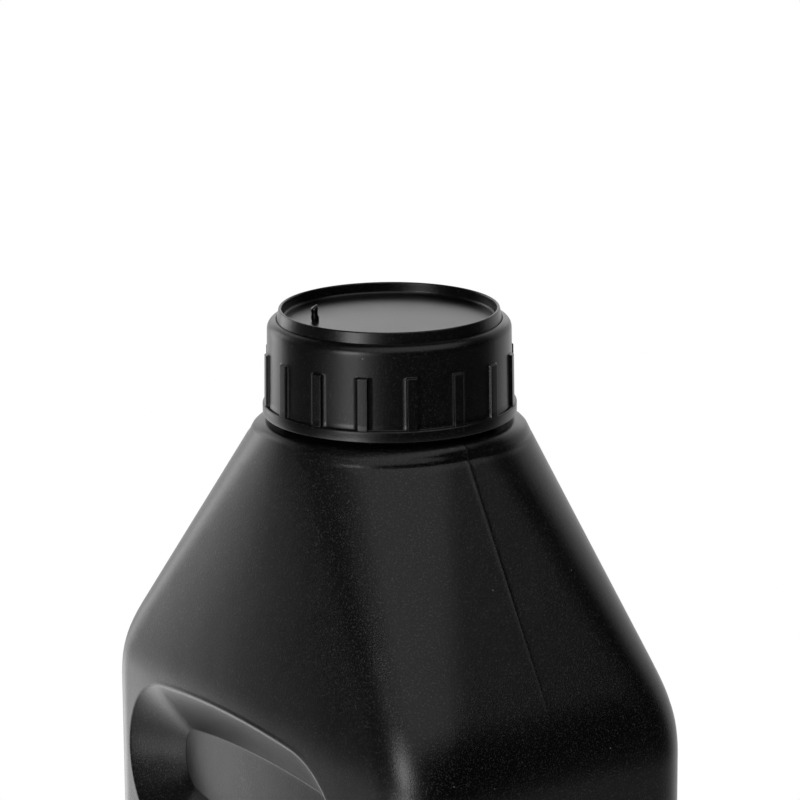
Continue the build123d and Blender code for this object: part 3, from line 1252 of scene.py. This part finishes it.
    def gate(self) -> Shell:
        """Stub of the gate that the moulding was filled through.

        It is a small leaning stud. Sines of the turn and of the climb make it wavy, and its end is torn off
        at a slant.

        Returns:
            The stud's closed skin, sunk in the plate.
        """
        turn = np.linspace(0, 2 * pi, self.gate_columns, endpoint=False)
        x, y = (self.gate_distance * part(radians(self.gate_turn)) for part in (cos, sin))
        wide, narrow, least = (self.gate_radius * share for share in self.gate_taper)
        foot, tip = self.plate_top - self.plate / 2, self.plate_top + self.gate_height
        stem = np.linspace((wide, foot + self.margin), (narrow, tip - self.gate_tip), EDGE_ROWS)
        path = np.concatenate([[(narrow, foot)], stem, [(least, tip)]])
        radius, level = path[:, :1], path[:, 1:]
        climb = (level - self.plate_top) / self.gate_height
        ripple, swell = self.gate_waves
        reach = radius * (1 + ripple * np.sin(3 * turn + 4 * climb) + swell * np.sin(9 * climb))
        slant = self.gate_slant * np.cos(turn - 1.0) * ease(level, tip - self.gate_torn, tip)
        lean = self.gate_lean * np.clip(climb, 0.0, 1.0)
        rings = np.stack([x - lean + reach * np.cos(turn), y + reach * np.sin(turn), level + slant], axis=-1)
        return Shell(rings, (x, y, foot), (x - self.gate_lean, y, tip))

    def build(self) -> bpy.types.Object:
        """Builds the moulding with its gate stub, and dresses and seats it.

        Returns:
            The piece.
        """
        rings = np.concatenate([self.inside(), self.outside(), self.crown()])
        shell = Shell(rings, (0, 0, self.plate_under), (0, 0, self.plate_top))
        shell.include(self.gate())
        piece = shell.piece("cap_moulding")
        piece.data.materials.append(self.finish.material())
        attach(piece, "cap_body")
        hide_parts("screw_cap")
        return piece


@dataclass
class CapLiner:
    """The sealing disc inside the cap, whose solid has the right shape as it is."""

    finish: Finish

    def build(self) -> bpy.types.Object:
        """Dresses the liner's own node.

        Returns:
            The piece.
        """
        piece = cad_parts["cap_liner"]
        piece.data.materials.clear()
        piece.data.materials.append(self.finish.material())
        return piece


@dataclass(frozen=True)
class Lamp:
    """Soft area lamp that looks at the bottle. Azimuth is from the camera's side, positive to its right."""

    name: str
    azimuth: float
    elevation: float
    distance: float
    width: float
    height: float
    radiance: float

    def build(self, camera_azimuth: float, target: Vector) -> bpy.types.Object:
        """Places the lamp and sets its power from its radiance and area.

        Args:
            camera_azimuth: Direction of the camera, in degrees.
            target: Point that the lamp looks at.

        Returns:
            The lamp.
        """
        turn, rise = radians(camera_azimuth + self.azimuth), radians(self.elevation)
        away = Vector((cos(turn) * cos(rise), sin(turn) * cos(rise), sin(rise)))
        data = bpy.data.lights.new(self.name, "AREA")
        data.shape = "RECTANGLE"
        data.size, data.size_y = self.width, self.height
        data.energy = pi * self.radiance * self.width * self.height
        lamp = bpy.data.objects.new(self.name, data)
        lamp.location = target + away * self.distance
        lamp.rotation_euler = away.to_track_quat("Z", "Y").to_euler()
        lamp.visible_camera = False
        bpy.context.scene.collection.objects.link(lamp)
        return lamp


@dataclass
class Studio:
    """Camera at the photograph's place, a white cove behind the bottle, soft lamps and a dim room."""

    floor: Finish
    focal_pixels: float = 4000.0
    image_pixels: float = 800.0
    azimuth: float = -34.22
    elevation: float = 16.33
    distance: float = 764.3 * MM
    aim_height: float = 164.0 * MM
    yaw: float = 0.152
    pitch: float = 14.70
    roll: float = -0.343
    sight: float = 50.0
    cove_half: float = 8.0
    cove_back: float = 3.2
    cove_bend: float = 1.2
    cove_top: float = 3.6
    cove_rows: int = 16
    room_light: float = 0.02
    lamps: tuple[Lamp, ...] = (
        Lamp("key_softbox", -36.0, 11.0, 0.80, 0.26, 0.32, 13.0),
        Lamp("key_upper", -32.0, 27.0, 0.80, 0.24, 0.12, 7.0),
        Lamp("low_card", -33.0, -9.0, 0.36, 0.10, 0.06, 10.0),
        Lamp("front_card", -18.0, 8.0, 0.90, 0.20, 0.50, 1.6),
        Lamp("top_softbox", 25.0, 64.0, 1.20, 1.9, 1.2, 1.65),
        Lamp("side_softbox", -131.0, 12.0, 0.70, 0.30, 0.50, 2.4),
        Lamp("side_fill", -96.0, 16.0, 0.80, 0.56, 0.40, 0.15),
        Lamp("back_softbox", 180.0, 17.0, 2.50, 2.4, 0.70, 0.82),
    )

    def build_camera(self) -> None:
        """Places the camera at a distance from its aim point, turned a little off it as in the photograph."""
        turn, rise = radians(self.azimuth), radians(self.elevation)
        away = Vector((cos(turn), sin(turn), 0.0))
        beside = Vector((-sin(turn), cos(turn), 0.0))
        up = Vector((0.0, 0.0, 1.0))
        place = up * self.aim_height + (away * cos(rise) + up * sin(rise)) * self.distance
        yaw, pitch = radians(self.yaw), radians(self.pitch)
        look = beside * sin(yaw) * cos(pitch) - away * cos(yaw) * cos(pitch) - up * sin(pitch)
        right = beside * cos(yaw) + away * sin(yaw)
        over = right.cross(look)
        tilt = radians(self.roll)
        axis_x = right * cos(tilt) + over * sin(tilt)
        axis_y = over * cos(tilt) - right * sin(tilt)
        data = bpy.data.cameras.new("photo_camera")
        data.lens = data.sensor_width * self.focal_pixels / self.image_pixels
        data.clip_end = self.sight
        camera = bpy.data.objects.new("photo_camera", data)
        camera.matrix_world = Matrix.LocRotScale(
            place, Matrix((axis_x, axis_y, -look)).transposed().to_quaternion(), None)
        bpy.context.scene.collection.objects.link(camera)
        bpy.context.scene.camera = camera

    def build_cove(self) -> None:
        """Sheet of floor that bends up to a wall: a profile of line, arc and line carried sideways."""
        bend = arc((self.cove_back - self.cove_bend, self.cove_bend), self.cove_bend, -90, 0, self.cove_rows)
        profile = np.concatenate([[(-self.cove_half, 0.0)], bend, [(self.cove_back, self.cove_top)]])
        beside = np.array([-self.cove_half, 0.0, self.cove_half])
        turn = radians(self.azimuth)
        back, side = -np.array([cos(turn), sin(turn)]), np.array([-sin(turn), cos(turn)])
        plan = profile[:, None, :1] * back + beside[None, :, None] * side
        points = np.concatenate([plan, np.broadcast_to(profile[:, None, 1:], (*plan.shape[:2], 1))], -1)
        index = np.arange(plan.shape[0] * plan.shape[1]).reshape(plan.shape[:2])
        quads = np.stack([index[:-1, :-1], index[1:, :-1], index[1:, 1:], index[:-1, 1:]], -1).reshape(-1, 4)
        cove = mesh_piece("cove", points.reshape(-1, 3), quads.tolist())
        cove.data.materials.append(self.floor.material())

    def build_room(self) -> None:
        """World: white to the camera, and a dim even light to everything else."""
        world = bpy.data.worlds.new("room")
        world.use_nodes = True
        bench = Bench(world.node_tree)
        camera_ray = bench.wire("ShaderNodeLightPath", {}, {}, "Is Camera Ray")
        strength = camera_ray * (1.0 - self.room_light) + self.room_light
        light = bench.node("ShaderNodeBackground", {}, {"Color": (1.0, 1.0, 1.0, 1.0), "Strength": strength})
        bench.node("ShaderNodeOutputWorld", {}, {"Surface": light.outputs[0]})
        bpy.context.scene.world = world

    def build(self) -> None:
        """Sets up the whole studio."""
        bpy.context.scene.view_settings.view_transform = "Standard"
        self.build_camera()
        self.build_cove()
        self.build_room()
        low, high = CAD_BOX
        for lamp in self.lamps:
            lamp.build(self.azimuth, (low + high) / 2)


def main() -> None:
    """Builds the studio and each piece of the bottle in turn, and reports each piece."""
    logging.basicConfig(level=logging.INFO, format="%(name)s: %(message)s")
    body_plastic = BlackPlastic("blown_black_plastic")
    cap_plastic = BlackPlastic("moulded_black_plastic", grain_depth=0.012 * MM,
                               grain_colour=(0.014, 0.014, 0.0137), ripple_depth=0.02 * MM)
    view = Studio.azimuth
    # Painted pools of light on the floor, seen only in the bottle's reflections.
    white = StudioWhite("studio_white", back=view + 180.0, painted_glows=(
        PaintedGlow(view - 42.0, 12.0, 26.0, 6.0, 0.16, 0.37),
        PaintedGlow(view - 130.0, 8.0, 26.0, 2.6, 0.11, 0.42),
        PaintedGlow(view - 78.0, 25.0, 62.0, 3.2, 0.0, 0.11),
        PaintedGlow(view + 180.0, 40.0, 80.0, 0.2, 0.3, 9.0)))
    Studio(white).build()
    bottle = BlownBottle(body_plastic, GripPocket())
    for assembly in (bottle, ScrewCap(cap_plastic), CapLiner(LinerFoam("liner_foam"))):
        piece = assembly.build()
        LOG.info("%s: %d faces", piece.name, len(piece.data.polygons))


if __name__ == "__main__":
    main()
